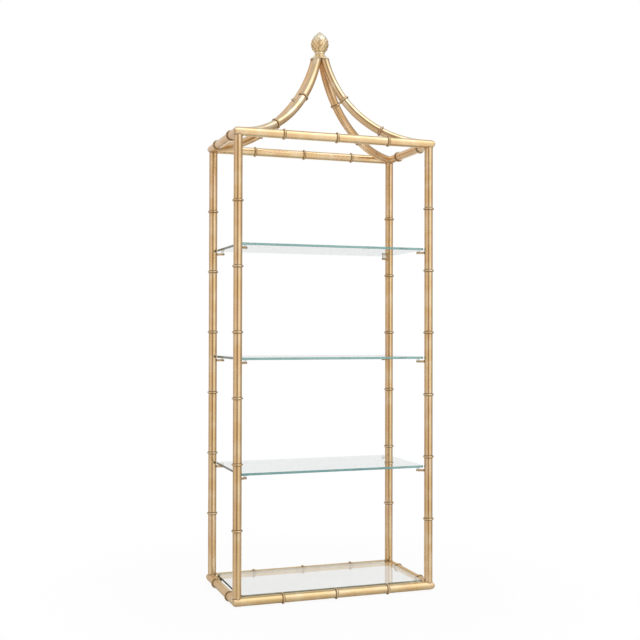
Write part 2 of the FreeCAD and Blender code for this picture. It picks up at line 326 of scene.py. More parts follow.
def gold_leaf(name, leaf_colour, pale_colour, glaze_colour, smoothest, painted_top_light=None):
    """Antique gold leaf over iron.

    It has soft patches of pale and rosy leaf, rubbed specks, a brown glaze that has gathered beside the
    rings and joints with painted shade on the flanks of the rings, and the faint unevenness of a brushed
    ground. smoothest is the roughness of its smoothest patches. Between the two heights in the last
    argument, painted light from above turns it to a third colour.
    """
    material = bpy.data.materials.new(name)
    g = Graph(material)
    place = g.place()
    patches = g.noise(place, PATCHES_PER_M, detail=4.0, rough=0.55)
    rosy = g.noise(g.stretched(place, *ROSE_STRETCH), ROSE_PER_M)
    grain = g.noise(place, GRAIN_PER_M, detail=4.0, rough=0.62)
    specks = g.noise(place, SPECKS_PER_M, detail=2.0)
    colour = g.mix(g.span(patches, *PATCH_EDGE), leaf_colour, pale_colour)
    colour = g.mix(g.span(rosy, *ROSE_EDGE, 0.0, ROSE_SHARE), colour, GOLD_ROSE)
    colour = g.mix(g.span(grain, *GRAIN_EDGE, 0.0, GRAIN_SHARE), colour, GOLD_ROSE)
    # Painted light from above: the leaf pales to a third colour between two heights
    if painted_top_light:
        low, high, top_light_colour = painted_top_light
        colour = g.mix(g.span(g.dot(place, UP), low, high), colour, top_light_colour)
    # The glaze attribute holds real glaze at joints and rings, and painted shade on the ring flanks
    gathered = g.node("ShaderNodeAttribute", attribute_name="glaze").outputs["Fac"]
    uneven = g.math("MULTIPLY", gathered, g.span(grain, *GLAZE_EDGE, GLAZE_LEAST, 1.0))
    rubbed = g.span(specks, *SPECK_EDGE, 0.0, SPECK_SHARE)
    dark = g.math("MAXIMUM", uneven, rubbed)
    colour = g.mix(dark, colour, glaze_colour)
    rough = g.span(patches, *PATCH_ROUGH_EDGE, smoothest, smoothest + LEAF_ROUGHER)
    rough = g.math("ADD", rough, g.span(grain, *GRAIN_ROUGH_EDGE, 0.0, LEAF_ROUGHER))
    rough = g.math("ADD", rough, g.math("MULTIPLY", dark, GLAZE_ROUGHER))
    metal = g.math("SUBTRACT", 1.0, g.math("MULTIPLY", dark, GLAZE_OVER_METAL))
    ground = g.bump(patches, *GROUND_BUMP)
    leaf = g.bump(grain, *LEAF_BUMP, ground)
    g.finish(g.principled(Base_Color=colour, Metallic=metal, Roughness=rough, Normal=leaf))
    return material


def clear_glass(name, dull, bright):
    """The faces of the float glass: barely tinted, with a faint unevenness of the polish."""
    material = bpy.data.materials.new(name)
    g = Graph(material)
    haze = g.noise(g.place(), HAZE_PER_M)
    colour = g.mix(g.span(haze, *HAZE_EDGE), dull, bright)
    rough = g.span(haze, *GLASS_ROUGH_EDGE, *FACE_ROUGH)
    glass = g.principled(Base_Color=colour, Roughness=rough, Transmission_Weight=1.0, IOR=GLASS_IOR)
    g.finish(glass)
    return material


def glass_rim(name, deep, bright, clear):
    """A polished edge of the sheet, where the light that has run through the glass comes out green.

    The share clear of what lies behind shows through it, and from inside the sheet it is clear.
    """
    material = bpy.data.materials.new(name)
    g = Graph(material)
    streak = g.noise(g.stretched(g.place(), *STREAK_STRETCH), STREAKS_PER_M)
    colour = g.mix(g.span(streak, *NOISE_MIDDLE), deep, bright)
    rough = g.span(streak, *GLASS_ROUGH_EDGE, *RIM_ROUGH)
    edge = g.principled(
        Base_Color=colour, Roughness=rough, Transmission_Weight=RIM_TRANSMISSION, IOR=GLASS_IOR)
    through = g.node("ShaderNodeBsdfTransparent").outputs[0]
    through.node.inputs["Color"].default_value = GLASS_THROUGH
    inside = g.node("ShaderNodeNewGeometry").outputs["Backfacing"]
    g.finish(g.shade(g.math("MAXIMUM", inside, clear), edge, through))
    return material


def clear_vinyl():
    """The soft bumpers and pads, clear with a slight cloud."""
    material = bpy.data.materials.new("clear_vinyl")
    g = Graph(material)
    cloud = g.noise(g.place(), VINYL_CLOUDS_PER_M)
    colour = g.mix(cloud, VINYL_DULL, VINYL_BRIGHT)
    rough = g.span(cloud, *NOISE_MIDDLE, *VINYL_ROUGH)
    pad = g.principled(
        Base_Color=colour, Roughness=rough, Transmission_Weight=VINYL_TRANSMISSION, IOR=VINYL_IOR)
    g.finish(pad)
    return material


def plain_steel():
    """The stud inside the finial, with fine threads of tool marks."""
    material = bpy.data.materials.new("plain_steel")
    g = Graph(material)
    marks = g.noise(g.stretched(g.place(), *TOOL_MARK_STRETCH), TOOL_MARKS_PER_M)
    colour = g.mix(marks, STEEL_DARK, STEEL_BRIGHT)
    rough = g.span(marks, *NOISE_MIDDLE, *STEEL_ROUGH)
    g.finish(g.principled(Base_Color=colour, Metallic=1.0, Roughness=rough))
    return material


def bare_iron_in_shade():
    """The inside of the tube, seen through the hanging holes: bare iron painted near black with the shade
    in the holes.
    """
    material = bpy.data.materials.new("bare_iron_in_shade")
    g = Graph(material)
    scale = g.noise(g.place(), MILL_SCALE_PER_M, detail=4.0)
    colour = g.mix(scale, IRON_DARK, IRON_BROWN)
    rough = g.span(scale, *NOISE_MIDDLE, *IRON_ROUGH)
    g.finish(g.principled(Base_Color=colour, Metallic=IRON_METAL, Roughness=rough))
    return material


# Heights and colour of the painted light from above on the bud
bud_painted_top_light = (
    BUD_Z + BUD_TOP_LIGHT_FROM * (BUD_TOP_Z - BUD_Z),
    BUD_Z + BUD_TOP_LIGHT_FULL * (BUD_TOP_Z - BUD_Z),
    FINIAL_LIT_PALE,
)
gold = gold_leaf("gold_leaf", GOLD, GOLD_PALE, GLAZE, TUBE_POLISH)
base_gold = gold_leaf("base_gold_leaf", BASE_GOLD, BASE_PALE, GLAZE, BASE_POLISH)
front_arm_lit_gold = gold_leaf("front_arm_gold_leaf", FRONT_ARM_LIT_GOLD, FRONT_ARM_LIT_PALE, GLAZE, TUBE_POLISH)
back_arm_shaded_gold = gold_leaf("back_arm_gold_leaf", BACK_ARM_SHADED_GOLD, BACK_ARM_SHADED_PALE, GLAZE, TUBE_POLISH)
# Lit copies of the leaf for the cap and bud, painted with light from above
cap_lit_gold = gold_leaf("cap_gold_leaf", CAP_LIT_GOLD, FINIAL_LIT_PALE, FINIAL_LIT_GLAZE, FINIAL_POLISH)
bud_lit_gold = gold_leaf("bud_gold_leaf", BUD_LIT_GOLD, CAP_LIT_GOLD, BUD_LIT_GLAZE, FINIAL_POLISH, bud_painted_top_light)
shelf_face = clear_glass("shelf_glass_face", rgb(0.82, 0.856, 0.842), rgb(0.845, 0.876, 0.864))
panel_face = clear_glass("panel_glass_face", rgb(0.848, 0.860, 0.842), rgb(0.870, 0.880, 0.864))
# Edge colours stand for light run through the glass. The short edges are a darker copy with painted
# shade, and the let-in edges are olive with a painted reflection of the gold rail and its shade
long_edge = glass_rim("glass_long_edge", rgb(0.14, 0.345, 0.34), rgb(0.215, 0.45, 0.44), clear=0.12)
shaded_short_edge = glass_rim("glass_short_edge", rgb(0.055, 0.085, 0.078), rgb(0.11, 0.165, 0.15), clear=0.0)
let_in_edge_rail_reflection = glass_rim("glass_let_in_edge", rgb(0.42, 0.44, 0.34), rgb(0.55, 0.57, 0.45), clear=0.10)
SHELF_GLASS = [shelf_face, long_edge, shaded_short_edge]
PANEL_GLASS = [panel_face, let_in_edge_rail_reflection, shaded_short_edge]
FACE_SLOT, LONG_EDGE_SLOT, SHORT_EDGE_SLOT = range(3)
vinyl = clear_vinyl()
steel = plain_steel()
iron = bare_iron_in_shade()


# Meshes
class Skin:
    """A mesh in the making: its points, the glaze at each, its faces and the material slot of each."""

    def __init__(self):
        self.points = []
        self.faces = []
        self.glaze = []
        self.slots = []

    def add(self, points, faces, glaze, slot=0):
        first = len(self.points)
        self.points += points
        self.glaze += glaze
        self.faces += [tuple(first + k for k in face) for face in faces]
        self.slots += [slot] * len(faces)

    def loft(self, rows, glaze_rows, slot=0):
        """A closed skin over rows of points that go round, capped at both ends."""
        count = len(rows[0])
        faces = []
        for r in range(len(rows) - 1):
            for k in range(count):
                n = (k + 1) % count
                faces.append((r * count + k, r * count + n, (r + 1) * count + n, (r + 1) * count + k))
        last = (len(rows) - 1) * count
        faces.append(tuple(reversed(range(count))))
        faces.append(tuple(range(last, last + count)))
        points = [p for row in rows for p in row]
        self.add(points, faces, [g for row in glaze_rows for g in row], slot)

    def mesh(self, name):
        made = bpy.data.meshes.new(name)
        made.from_pydata([tuple(p) for p in self.points], [], self.faces)
        made.polygons.foreach_set("material_index", self.slots)
        layer = made.attributes.new("glaze", "FLOAT", "POINT")
        layer.data.foreach_set("value", self.glaze)
        work = bmesh.new()
        work.from_mesh(made)
        bmesh.ops.recalc_face_normals(work, faces=work.faces)
        work.to_mesh(made)
        work.free()
        return made


def smooth(mesh):
    mesh.polygons.foreach_set("use_smooth", [True] * len(mesh.polygons))
    mesh.set_sharp_from_angle(angle=SHARP)


def show(name, mesh, materials, body, slot, *nodes):
    """Puts a mesh in the scene as a piece that rides on a body and stands for CAD nodes."""
    for material in materials:
        mesh.materials.append(material)
    smooth(mesh)
    piece = bpy.data.objects.new(name, mesh)
    bpy.context.scene.collection.objects.link(piece)
    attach(piece, body)
    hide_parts(*nodes)
    return piece


def show_gold(name, skin, *nodes, material=gold):
    return show(name, skin.mesh(name), [material], "frame", "gold_frame", *nodes)


def ripple(at):
    """A slow swell of the surface, as hand-drawn tube has."""
    return RIPPLE * noise.noise(at * RIPPLE_PER_M)


def directions(side, over, count):
    """Unit vectors evenly round a circle, from side towards over."""
    turns = [2 * math.pi * k / count for k in range(count)]
    return [side * math.cos(a) + over * math.sin(a) for a in turns]


def circle(line, s, radius):
    """A circle of points round a tube's line at distance s, and their directions outward."""
    centre, _, side, over = line(s)
    outs = directions(side, over, TUBE_SIDES)
    return [centre + out * (radius + ripple(centre + out * radius)) for out in outs], outs


def straight(start, along, side):
    """The line of a straight tube: place, direction and two normals at a distance from its start."""
    over = along.cross(side)
    return lambda s: (start + along * s, along, side, over)


# Rows beside a ring, and the least gap to the next row, in half widths of the ring
RING_MARKS = (0.0, 0.9, 1.15, 1.5, 2.1)
RING_MARK_GAP = 0.45


def stations(first, last, rings):
    """Distances along a tube: even steps, with closer ones beside each ring."""
    count = max(2, round((last - first) / STEP))
    even = [first + (last - first) * k / count for k in range(count + 1)]
    ends = (even[0], even[-1])
    offsets = [sign * share * RING_HALF for share in RING_MARKS for sign in (-1, 1)]
    beside = {ring + offset for ring in rings for offset in offsets}
    beside = [mark for mark in beside if first < mark < last]
    least = RING_MARK_GAP * RING_HALF
    kept = [s for s in even if s in ends or all(abs(s - mark) > least for mark in beside)]
    return sorted(kept + beside)


def ring_glaze(s, rings):
    """Glaze gathered against the rings at distance s along a tube."""
    gaps = [max(0.0, abs(s - ring) - RING_HALF) for ring in rings]
    return max((math.exp(-(gap / GLAZE_REACH) ** 2) for gap in gaps), default=0.0)


# Bamboo rings
RING_STEPS = 10
RING_FULLNESS = 0.75
RING_FOOT_OUT = 0.3 * MM
RING_FOOT_SINK = 0.2 * MM
# A ring's feet gather real glaze; its flanks are darkened more with painted shade
RING_CREST_GLAZE = 0.06
RING_SIDE_GLAZE_AND_SHADE = 0.90
RING_GLAZE_FALL = 1.1


def ring_outline():
    """Offset along the tube, radius and glaze of a half-round ring, from one foot to the other; the
    flanks carry painted shade.
    """
    rise = RING_R - TUBE_R
    foot = RING_HALF + RING_FOOT_OUT
    outline = [(-foot, TUBE_R - RING_FOOT_SINK, 1.0)]
    for k in range(RING_STEPS + 1):
        turn = math.pi * k / RING_STEPS
        height = math.sin(turn) ** RING_FULLNESS if 0 < k < RING_STEPS else 0.0
        gathered = (RING_SIDE_GLAZE_AND_SHADE - RING_CREST_GLAZE) * (1 - height) ** RING_GLAZE_FALL
        outline.append((-RING_HALF * math.cos(turn), TUBE_R + rise * height, RING_CREST_GLAZE + gathered))
    outline.append((foot, TUBE_R - RING_FOOT_SINK, 1.0))
    return outline


def add_rings(skin, line, places):
    for ring in places:
        rows, glaze = [], []
        for offset, radius, shade in ring_outline():
            row, _ = circle(line, ring + offset, radius)
            rows.append(row)
            glaze.append([shade] * TUBE_SIDES)
        skin.loft(rows, glaze)


# Posts and rails. Marks and steps are shares of the zone that they lie in.
MITRE_ZONE = 26.0 * MM
MITRE_SOFT = 2.6 * MM
MITRE_EASE = 0.7 * MM
MITRE_MARKS = (0.08, 0.2, 0.4, 0.7, 1.0)
MITRE_GLAZE = 0.22
MITRE_GLAZE_FALL = 6
COPE_ZONE = 24.0 * MM
COPE_STEPS = (0.0, 0.012, 0.03, 0.06, 0.12, 0.25, 0.5)
COPE_FLARE = 0.06
COPE_GLAZE = 0.75
COPE_GLAZE_REACH = 0.05
SUNK_R = 0.8 * TUBE_R


def rail_line(side, axis_z):
    along, sign = SIDES_OF_FRAME[side]
    across = ALONG_Y if along is ALONG_X else ALONG_X
    offset = RAIL_Y if along is ALONG_X else RAIL_X
    return straight(across * (sign * offset) + UP * axis_z, along, across * sign)


def rail_rings(side):
    count = LONG_RAIL_RINGS if SIDES_OF_FRAME[side][0] is ALONG_X else SHORT_RAIL_RINGS
    return [(k - (count - 1) / 2) * RAIL_RING_PITCH for k in range(count)]


def rail_skin(side, axis_z):
    """A rail mitred at both ends, with the outer arris of the mitre eased as a ground weld is."""
    line, rings = rail_line(side, axis_z), rail_rings(side)
    along = SIDES_OF_FRAME[side][0]
    half = RAIL_X if along is ALONG_X else RAIL_Y
    ends = [half - MITRE_SOFT * share for share in MITRE_MARKS]
    marks = sorted(set(stations(-half, half, rings) + ends + [-e for e in ends]))
    rows, glaze = [], []
    for s in marks:
        row, outs = circle(line, s, TUBE_R)
        outward = line(s)[2]
        share = max(0.0, (abs(s) - half + MITRE_ZONE) / MITRE_ZONE)
        ease = max(0.0, 1 - (half - abs(s)) / MITRE_SOFT) ** 2 * MITRE_EASE
        shaped = []
        for at, out in zip(row, outs):
            lean = out.dot(outward)
            shift = math.copysign(lean * TUBE_R * share, s) if s else 0.0
            shaped.append(at + along * shift - out * (ease * max(0.0, lean)))
        rows.append(shaped)
        joint = MITRE_GLAZE * share ** MITRE_GLAZE_FALL
        glaze.append([max(ring_glaze(s, rings), joint)] * TUBE_SIDES)
    skin = Skin()
    skin.loft(rows, glaze)
    return skin


def saddle(dx, dy):
    """Height of the mitred corner's surface over the rails' axes, at offsets out from the corner."""
    off = dy if dx <= dy else dx
    return math.sqrt(max(0.0, TUBE_R ** 2 - off ** 2))


def coped_end(corner, axis_z, sign, step):
    """One row near a post's coped end: step 0 lies on the rails, 1 where the plain tube begins.

    The last part flares into a small weld fillet.
    """
    i, j = CORNERS[corner]
    row, glaze = [], []
    swell = max(0.0, 1 - step / COPE_FLARE) ** 2
    for k in range(TUBE_SIDES):
        turn = 2 * math.pi * k / TUBE_SIDES
        x, y = math.cos(turn), math.sin(turn)
        seat = saddle(i * x * TUBE_R - RAIL_OUTSET, j * y * TUBE_R - RAIL_OUTSET)
        radius = TUBE_R + FILLET * swell * (seat / TUBE_R) ** 2
        seat = saddle(i * x * radius - RAIL_OUTSET, j * y * radius - RAIL_OUTSET)
        height = seat + (TUBE_R + COPE_ZONE - seat) * step
        row.append(Vector((i * HALF_X + x * radius, j * HALF_Y + y * radius, axis_z + sign * height)))
        glaze.append(COPE_GLAZE * math.exp(-(step / COPE_GLAZE_REACH) ** 2))
    return row, glaze


def sunk_end(corner, axis_z):
    """The row that closes a post out of sight, inside the corner of the rails."""
    i, j = CORNERS[corner]
    line = straight(Vector((i * HALF_X, j * HALF_Y, axis_z)), UP, ALONG_X)
    return circle(line, 0.0, SUNK_R)[0], [1.0] * TUBE_SIDES


def post_line(corner):
    i, j = CORNERS[corner]
    return straight(Vector((i * HALF_X, j * HALF_Y, POST_FOOT_Z)), UP, ALONG_X)


def post_rings():
    return [POST_RING_PITCH * (k + 1) for k in range(POST_RINGS)]


def post_skin(corner):
    """A post coped onto the rails at both ends."""
    line, rings = post_line(corner), post_rings()
    bottom = [coped_end(corner, BASE_Z, 1, step) for step in COPE_STEPS]
    top = [coped_end(corner, TOP_Z, -1, step) for step in reversed(COPE_STEPS)]
    middle = []
    for s in stations(COPE_ZONE, POST_CLEAR - COPE_ZONE, rings):
        middle.append((circle(line, s, TUBE_R)[0], [ring_glaze(s, rings)] * TUBE_SIDES))
    rows = [sunk_end(corner, BASE_Z)] + bottom + middle + top + [sunk_end(corner, TOP_Z)]
    skin = Skin()
    skin.loft([row for row, _ in rows], [glaze for _, glaze in rows])
    return skin


# Roof arms
ARM_FOOT_SHARE = 0.97
ARM_OVERRUN = 2 * TUBE_R
ARM_JOINT_GLAZE = 0.25
ARM_JOINT_REACH = 6.0 * MM


def arm_arc(corner):
    """The bent line of a roof arm as a function of the distance from its corner, and its length."""
    i, j = CORNERS[corner]
    start = Vector((i * HALF_X, j * HALF_Y, TOP_Z))
    chord = Vector((i * APEX_HALF, j * APEX_HALF, CAP_Z)) - start
    inward = Vector((chord.x, chord.y, 0)).normalized()
    tangent = inward * math.cos(ARM_START_SLOPE) + UP * math.sin(ARM_START_SLOPE)
    normal = UP * math.cos(ARM_START_SLOPE) - inward * math.sin(ARM_START_SLOPE)
    bend = chord.length_squared / (2 * chord.dot(normal))
    sweep = 2 * math.atan2(chord.dot(normal), chord.dot(tangent))
    centre = start + normal * bend
    side = inward.cross(UP)

    def line(s):
        turn = Matrix.Rotation(s / bend, 3, side)
        along = turn @ tangent
        return centre + turn @ (start - centre), along, side, along.cross(side)

    return line, bend * sweep


def arm_ring_places():
    return [ARM_RING_FIRST + k * ARM_RING_PITCH for k in range(ARM_RINGS)]


def arm_mesh(corner, name):
    """An arm that starts inside its corner, cut against the other arms and level under the cap."""
    line, length = arm_arc(corner)
    rings = arm_ring_places()
    i, j = CORNERS[corner]
    rows, glaze = [], []
    for s in stations(0.0, length + ARM_OVERRUN, rings):
        radius = TUBE_R * (ARM_FOOT_SHARE if s == 0.0 else 1.0)
        rows.append(circle(line, s, radius)[0])
        to_apex = max(0.0, length - s)
        joint = ARM_JOINT_GLAZE * math.exp(-(to_apex / ARM_JOINT_REACH) ** 2)
        glaze.append([max(ring_glaze(s, rings), joint)] * TUBE_SIDES)
    skin = Skin()
    skin.loft(rows, glaze)
    mesh = skin.mesh(name)
    work = bmesh.new()
    work.from_mesh(mesh)
    under_cap = Vector((0, 0, CAP_Z))
    cuts = ((Vector((-i, 0, 0)), CENTRE), (Vector((0, -j, 0)), CENTRE), (UP, under_cap))
    for away, at in cuts:
        everything = work.verts[:] + work.edges[:] + work.faces[:]
        cut = bmesh.ops.bisect_plane(
            work, geom=everything, plane_co=at, plane_no=away, clear_outer=True)
        rim = [e for e in cut["geom_cut"] if isinstance(e, bmesh.types.BMEdge)]
        bmesh.ops.holes_fill(work, edges=rim)
    bmesh.ops.recalc_face_normals(work, faces=work.faces)
    work.to_mesh(mesh)
    work.free()
    return mesh


# Apex: cap, collar and bud. An outline is a list of (radius, height, glaze) points.
TURNED_SIDES = 56
CAP_STEPS = 14
CAP_EASE = 0.6 * MM
CAP_SEAT_IN = 3.0 * MM
CAP_SEAT_SINK = 0.05 * MM
CAP_PULL_OUT = 4.6 * MM
CAP_PULL_UP = 4.2 * MM
CAP_NECK_GLAZE = 0.6
CAP_GLAZE_FALL = 8
COLLAR_STEPS = 12
COLLAR_FULLNESS = 0.8
COLLAR_SINK = 0.4 * MM


def turned(outline, sides=TURNED_SIDES, at=CENTRE, axis=UP, side=ALONG_X):
    """Rows of points and of glaze for an outline that is turned about an axis."""
    outs = directions(side, axis.cross(side), sides)
    rows = [[at + axis * height + out * radius for out in outs] for radius, height, _ in outline]
    return rows, [[shade] * sides for _, _, shade in outline]


def cap_skin():
    """A cap with an eased rim that flares in to the neck under the collar."""
    rim = CAP_Z + CAP_RIM
    outline = [
        (CAP_R - CAP_SEAT_IN, CAP_Z - CAP_SEAT_SINK, 0.4),
        (CAP_R - CAP_EASE, CAP_Z, 0.35),
        (CAP_R, CAP_Z + CAP_EASE, 0.15),
        (CAP_R, rim - CAP_EASE, 0.0),
        (CAP_R - CAP_EASE, rim, 0.05),
    ]
    start = Vector((CAP_R - 2 * CAP_EASE, rim))
    pull = Vector((CAP_NECK_R + CAP_PULL_OUT, rim + CAP_PULL_UP))
    end = Vector((CAP_NECK_R, COLLAR_Z))
    for k in range(CAP_STEPS + 1):
        t = k / CAP_STEPS
        at = start * (1 - t) ** 2 + pull * (2 * t * (1 - t)) + end * t ** 2
        outline.append((at.x, at.y, CAP_NECK_GLAZE * t ** CAP_GLAZE_FALL))
    skin = Skin()
    skin.loft(*turned(outline))
    return skin


def collar_skin():
    """A rounded bead with a glazed groove above and below it."""
    waist = CAP_NECK_R - COLLAR_SINK
    low, high = COLLAR_Z - COLLAR_SINK, BUD_Z + COLLAR_SINK
    outline = []
    for k in range(COLLAR_STEPS + 1):
        turn = math.pi * k / COLLAR_STEPS
        swell = math.sin(turn) ** COLLAR_FULLNESS if 0 < k < COLLAR_STEPS else 0.0
        height = (low + high) / 2 - (high - low) / 2 * math.cos(turn)
        outline.append((waist + (COLLAR_R - waist) * swell, height, (1 - swell) ** 2))
    skin = Skin()
    skin.loft(*turned(outline))
    return skin


# The bud's body and crown
BODY_STEPS = 24
BODY_INSET = 0.3 * MM
BODY_GLAZE = 0.55
BODY_FOOT = 0.12
BODY_FOOT_GLAZE = 0.15
CROWN_R = 1.6 * MM
CROWN_TOP_R = 0.7 * MM
CROWN_HEIGHT = 0.4 * MM
CROWN_GLAZE = 0.1

# The bud's scales. Widths are in columns and lengths in levels of the bud.
SCALE_STEPS = 8
SCALE_ACROSS = (-1.0, -0.72, -0.42, -0.16, 0.0, 0.16, 0.42, 0.72, 1.0)
SCALE_HALF_WIDTH = 0.54
SCALE_ROOT_SHARE = 0.55
SCALE_WIDEST = 0.45
SCALE_POINT = 1.7
SCALE_LENGTH = 1.62
SCALE_INSET = 0.45
SCALE_LEAST = 0.35
SCALE_SUNK = 0.25
SCALE_CURL = 1.4
SCALE_DOME = 0.5
SCALE_BACK = 1.4 * MM
RIB_RISE = 0.22 * MM
RIB_WIDTH = 0.2
RIB_LENGTH = 1.05
SCALE_EDGE_GLAZE = 0.75
SCALE_EDGE_FALL = 5
SCALE_ROOT_GLAZE = 0.6
SCALE_ROOT_FALL = 4
SCALE_BACK_GLAZE = 0.7


def bud_radius(share):
    """The bud's body under its scales, from its foot at 0 to its tip at 1."""
    full = BUD_R - SCALE_INSET * SCALE_RISE
    if share < BUD_WIDEST:
        return BUD_FOOT_R + (full - BUD_FOOT_R) * math.sin(math.pi / 2 * max(0.0, share) / BUD_WIDEST)
    fall = min(1.0, (share - BUD_WIDEST) / (1 - BUD_WIDEST))
    return BUD_TIP_R + (full - BUD_TIP_R) * math.cos(math.pi / 2 * fall ** BUD_TAPER)


def bud_height(share):
    return BUD_Z + (BUD_TOP_Z - BUD_Z - BUD_TIP_R / 2) * share


def bud_at(level, column, rise):
    """The place of a point that stands out from the bud's body by rise."""
    share = level / BUD_LEVELS
    radius = max(0.0, bud_radius(share) + rise)
    turn = 2 * math.pi * column / BUD_COLUMNS
    return Vector((radius * math.cos(turn), radius * math.sin(turn), bud_height(share)))


def scale_width(v):
    """Half width of a scale, from its root at 0 to its pointed tip at 1."""
    if v < SCALE_WIDEST:
        swell = math.sin(math.pi / 2 * v / SCALE_WIDEST)
        return SCALE_HALF_WIDTH * (SCALE_ROOT_SHARE + (1 - SCALE_ROOT_SHARE) * swell)
    return SCALE_HALF_WIDTH * (1 - ((v - SCALE_WIDEST) / (1 - SCALE_WIDEST)) ** SCALE_POINT)


def add_scale(skin, level, column):
    """One overlapping scale: it springs from the body, swells over a midrib and turns out to a point."""
    rows, glaze = [], []
    small = min(1.0, bud_radius(level / BUD_LEVELS) / BUD_R + SCALE_LEAST)
    for k in range(SCALE_STEPS + 1):
        v = k / SCALE_STEPS
        up = min(BUD_LEVELS, level - 1.0 + SCALE_LENGTH * v)
        lift = SCALE_RISE * small * ((1 + SCALE_SUNK) * v ** SCALE_CURL - SCALE_SUNK)
        ridge = RIB_RISE * math.sin(math.pi * min(1.0, RIB_LENGTH * v))
        top, shade = [], []
        for u in SCALE_ACROSS:
            dome = 1 - SCALE_DOME * u * u
            rib = ridge * math.exp(-(u / RIB_WIDTH) ** 2)
            top.append(bud_at(up, column + u * scale_width(v), lift * dome + rib))
            edge = SCALE_EDGE_GLAZE * abs(u) ** SCALE_EDGE_FALL
            root = SCALE_ROOT_GLAZE * (1 - v) ** SCALE_ROOT_FALL
            shade.append(min(1.0, edge + root))
        under = [bud_at(up, column + u * scale_width(v), -SCALE_BACK) for u in reversed(SCALE_ACROSS)]
        rows.append(top + under)
        glaze.append(shade + [SCALE_BACK_GLAZE] * len(under))
    skin.loft(rows, glaze)


def bud_skin():
    """A bud of staggered overlapping scales on a smooth body, closed by a small crown."""
    body = []
    for k in range(BODY_STEPS + 1):
        share = k / BODY_STEPS
        shade = BODY_GLAZE if share > BODY_FOOT else BODY_FOOT_GLAZE
        body.append((bud_radius(share) - BODY_INSET, bud_height(share), shade))
    body.append((CROWN_R, BUD_TOP_Z - CROWN_HEIGHT, CROWN_GLAZE))
    body.append((CROWN_TOP_R, BUD_TOP_Z, CROWN_GLAZE))
    skin = Skin()
    skin.loft(*turned(body))
    for level in range(1, BUD_LEVELS + 1):
        for column in range(BUD_COLUMNS):
            add_scale(skin, level, column + 0.5 * (level % 2))
    return skin


# Glass
GLASS_TURN_STEPS = 10
QUARTERS = ((1, 1), (-1, 1), (-1, -1), (1, -1))


def glass_mesh(name, node):
    """A sheet with rounded corners and a ground arris, with slots for its faces, long and short edges."""
    low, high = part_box(node)
    levels = (
        (GLASS_ARRIS, low.z),
        (0.0, low.z + GLASS_ARRIS),
        (0.0, high.z - GLASS_ARRIS),
        (GLASS_ARRIS, high.z),
    )
    rows = []
    for inset, z in levels:
        row = []
        for quarter, (i, j) in enumerate(QUARTERS):
            centre = Vector((i * (high.x - GLASS_CORNER_R), j * (high.y - GLASS_CORNER_R), z))
            for k in range(GLASS_TURN_STEPS + 1):
                turn = math.pi / 2 * (quarter + k / GLASS_TURN_STEPS)
                out = Vector((math.cos(turn), math.sin(turn), 0))
                row.append(centre + out * (GLASS_CORNER_R - inset))
        rows.append(row)
    skin = Skin()
    skin.loft(rows, [[0.0] * len(row) for row in rows], LONG_EDGE_SLOT)
    for face, corners in enumerate(skin.faces):
        run = skin.points[corners[1]] - skin.points[corners[0]]
        if abs(run.y) > abs(run.x):
            skin.slots[face] = SHORT_EDGE_SLOT
    skin.slots[-2:] = [FACE_SLOT, FACE_SLOT]
    return skin.mesh(name)


# Pins and bumpers
PIN_SIDES = 24
# Radius beyond the pin's own, distance out of the post and glaze of the weld
PIN_WELD = (
    (1.2 * MM, -0.6 * MM, 1.0),
    (0.6 * MM, 0.2 * MM, 0.8),
    (0.2 * MM, 0.8 * MM, 0.5),
    (0.0, 1.8 * MM, 0.25),
    (0.0, 6.0 * MM, 0.15),
)
# Share of the pin's radius, distance short of its end and darkening of the rounded tip, darkest at its
# end
PIN_TIP = (
    (1.0, 4.0 * MM, 0.15),
    (1.0, 0.8 * MM, 0.3),
    (0.93, 0.35 * MM, 0.4),
    (0.78, 0.08 * MM, 0.6),
    (0.55, 0.0, 0.6),
)
BUMPER_FOOT_IN = 0.5 * MM
BUMPER_STRADDLE = 0.6 * PIN_R
BUMPER_GAP = 0.02 * MM
# Inset and depth below the top of a bumper's crown
BUMPER_CROWN = ((0.0, 1.3 * MM), (0.25 * MM, 0.5 * MM), (0.8 * MM, 0.08 * MM), (1.2 * MM, 0.0))


def pin_line(corner, low_z):
    """Start and direction of the pin that carries the glass whose underside is at low_z."""
    i, j = CORNERS[corner]
    axis_z = low_z - BUMPER_RISE - PIN_R
    inward = Vector((-i * math.cos(PIN_ANGLE), -j * math.sin(PIN_ANGLE), 0))
    return Vector((i * HALF_X, j * HALF_Y, axis_z)), inward


def add_pin(skin, corner, low_z):
    """A round pin with a weld fillet at the post and a rounded tip."""
    start, inward = pin_line(corner, low_z)
    end = TUBE_R + PIN_LENGTH
    outline = [(PIN_R + more, TUBE_R + out, shade) for more, out, shade in PIN_WELD]
    outline += [(PIN_R * share, end - short, shade) for share, short, shade in PIN_TIP]
    skin.loft(*turned(outline, PIN_SIDES, start, inward, UP))


def add_bumper(skin, corner, low_z):
    """A soft clear pad that straddles the pin, rounded where it meets the glass."""
    start, inward = pin_line(corner, low_z)
    seat = start + inward * (TUBE_R + PIN_LENGTH - BUMPER_FROM_TIP)
    top = low_z - start.z - BUMPER_GAP
    outline = [(BUMPER_R - BUMPER_FOOT_IN, -BUMPER_STRADDLE, 0.0), (BUMPER_R, 0.0, 0.0)]
    outline += [(BUMPER_R - inset, top - depth, 0.0) for inset, depth in BUMPER_CROWN]
    skin.loft(*turned(outline, PIN_SIDES, seat))


# Hanging holes
HANG_HOLE_SIDES = 32
HANG_HOLE_FROM = 3.5 * MM
HANG_HOLE_TO = 2 * TUBE_R


